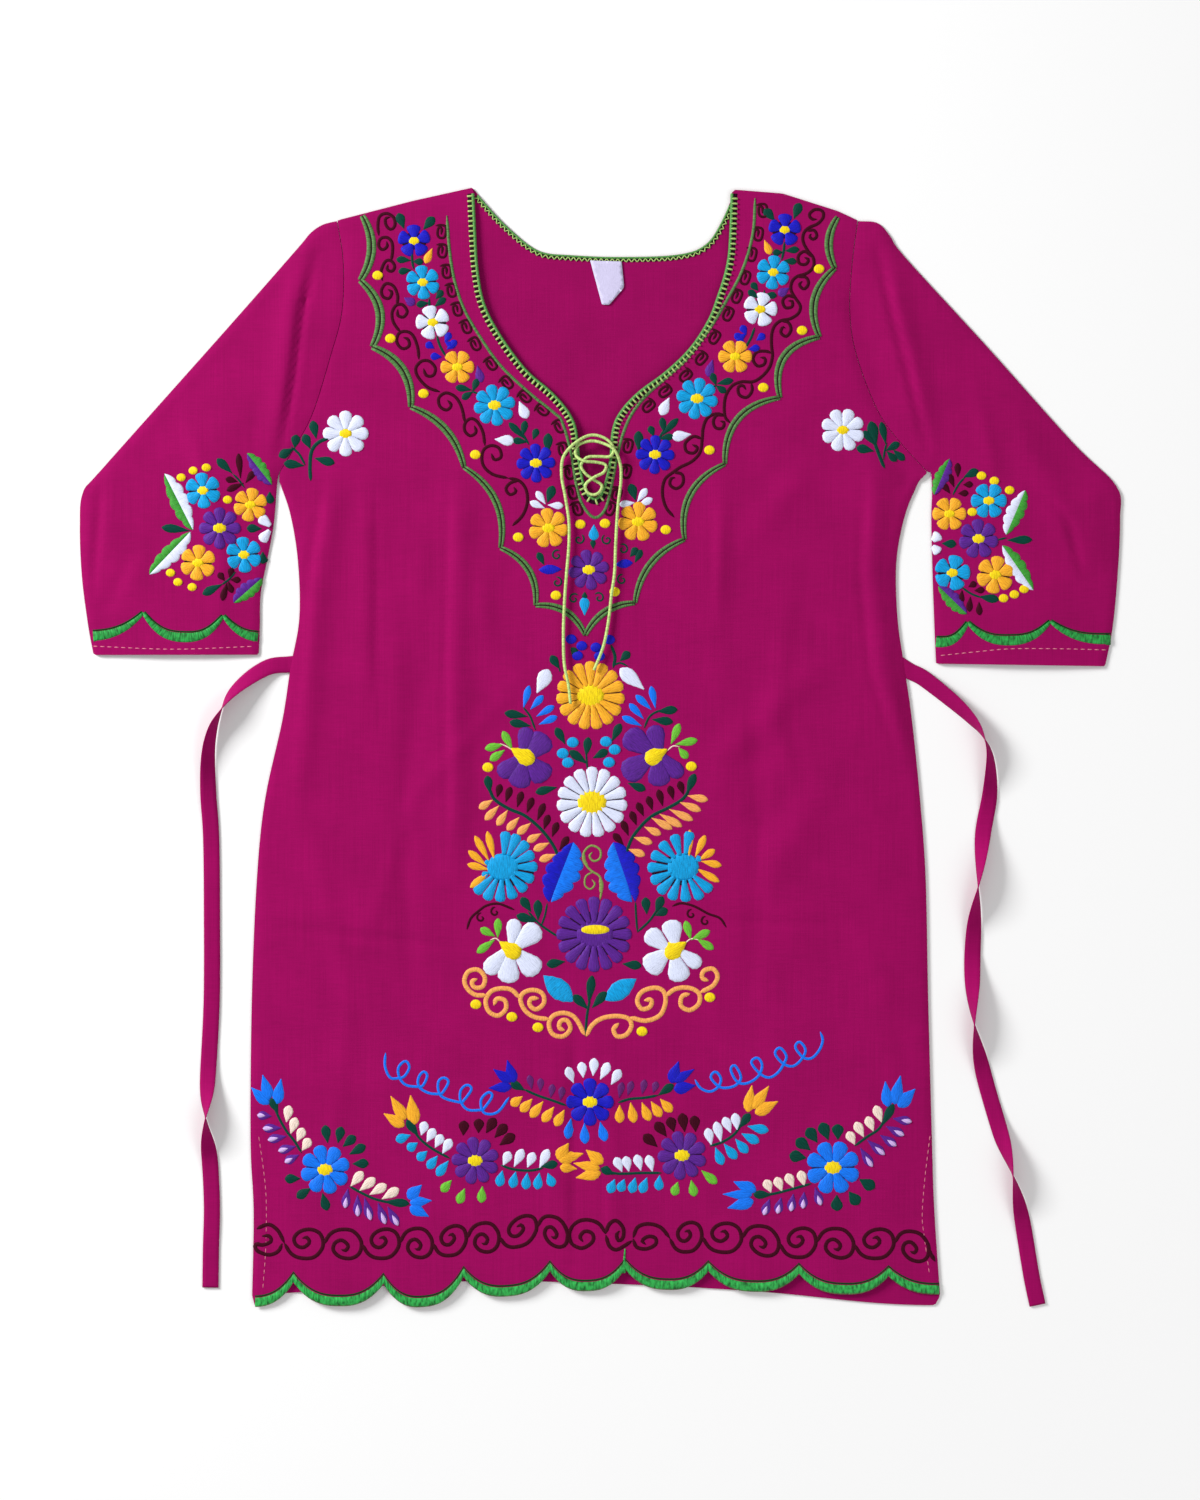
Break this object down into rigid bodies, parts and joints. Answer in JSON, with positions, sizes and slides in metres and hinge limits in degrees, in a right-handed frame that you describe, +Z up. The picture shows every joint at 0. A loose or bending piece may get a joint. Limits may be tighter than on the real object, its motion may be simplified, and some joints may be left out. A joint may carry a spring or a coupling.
{
  "type": "mexican embroidered dress laid flat",
  "caption": "Straight cotton dress laid flat, with a laced V neck, three-quarter sleeves, waist ties, scalloped hem and embroidered flowers.",
  "frame": {"origin": "centre of the laid-out dress's outline, on the surface that it lies on", "axes": "+X across the dress to the right as seen from above, +Y along the dress from hem to neck, +Z up from the surface"},
  "size_m": [0.8328, 0.895, 0.013],
  "materials": {
    "cotton_magenta": "plain weave cotton, matt with a faint sheen",
    "crochet_green": "crocheted cotton thread",
    "satin_green": "satin stitched thread",
    "satin_olive": "satin stitched thread",
    "lace_lime": "round braided cord",
    "label_satin": "woven satin ribbon",
    "thread_royal": "satin stitched thread",
    "thread_turquoise": "satin stitched thread",
    "thread_blue": "satin stitched thread",
    "thread_white": "satin stitched thread",
    "thread_orange": "satin stitched thread",
    "thread_purple": "satin stitched thread"
  },
  "bodies": {
    "root": {"back": "cotton_magenta", "care_label": "label_satin", "cuff_edging_left": "satin_green", "cuff_edging_right": "satin_green", "daisy_left": "thread_white", "daisy_right": "thread_white", "front": "cotton_magenta", "hem_edging": "satin_green", "hem_flower_centre": "thread_royal", "hem_flower_left": "thread_blue", "hem_flower_purple_left": "thread_purple", "hem_flower_purple_right": "thread_purple", "hem_flower_right": "thread_blue", "lace": "lace_lime", "medallion_blossom_left": "thread_white", "medallion_blossom_right": "thread_white", "medallion_fan_left": "thread_turquoise", "medallion_fan_right": "thread_turquoise", "medallion_leaf_left": "thread_blue", "medallion_leaf_right": "thread_blue", "medallion_orange": "thread_orange", "medallion_purple": "thread_purple", "medallion_purple_left": "thread_purple", "medallion_purple_right": "thread_purple", "medallion_white": "thread_white", "neck_trim_back": "crochet_green", "neck_trim_front": "crochet_green", "sleeve_left": "cotton_magenta", "sleeve_left_orange": "thread_orange", "sleeve_left_purple": "thread_purple", "sleeve_left_turquoise": "thread_turquoise", "sleeve_right": "cotton_magenta", "sleeve_right_orange": "thread_orange", "sleeve_right_purple": "thread_purple", "sleeve_right_turquoise": "thread_turquoise", "tie_left": "cotton_magenta", "tie_right": "cotton_magenta", "yoke_edging": "satin_olive", "yoke_flower_centre": "thread_purple", "yoke_flower_left_1": "thread_royal", "yoke_flower_left_2": "thread_turquoise", "yoke_flower_left_3": "thread_white", "yoke_flower_left_4": "thread_orange", "yoke_flower_left_5": "thread_turquoise", "yoke_flower_left_6": "thread_royal", "yoke_flower_left_7": "thread_orange", "yoke_flower_right_1": "thread_royal", "yoke_flower_right_2": "thread_turquoise", "yoke_flower_right_3": "thread_white", "yoke_flower_right_4": "thread_orange", "yoke_flower_right_5": "thread_turquoise", "yoke_flower_right_6": "thread_royal", "yoke_flower_right_7": "thread_orange"}
  },
  "joints": []
}
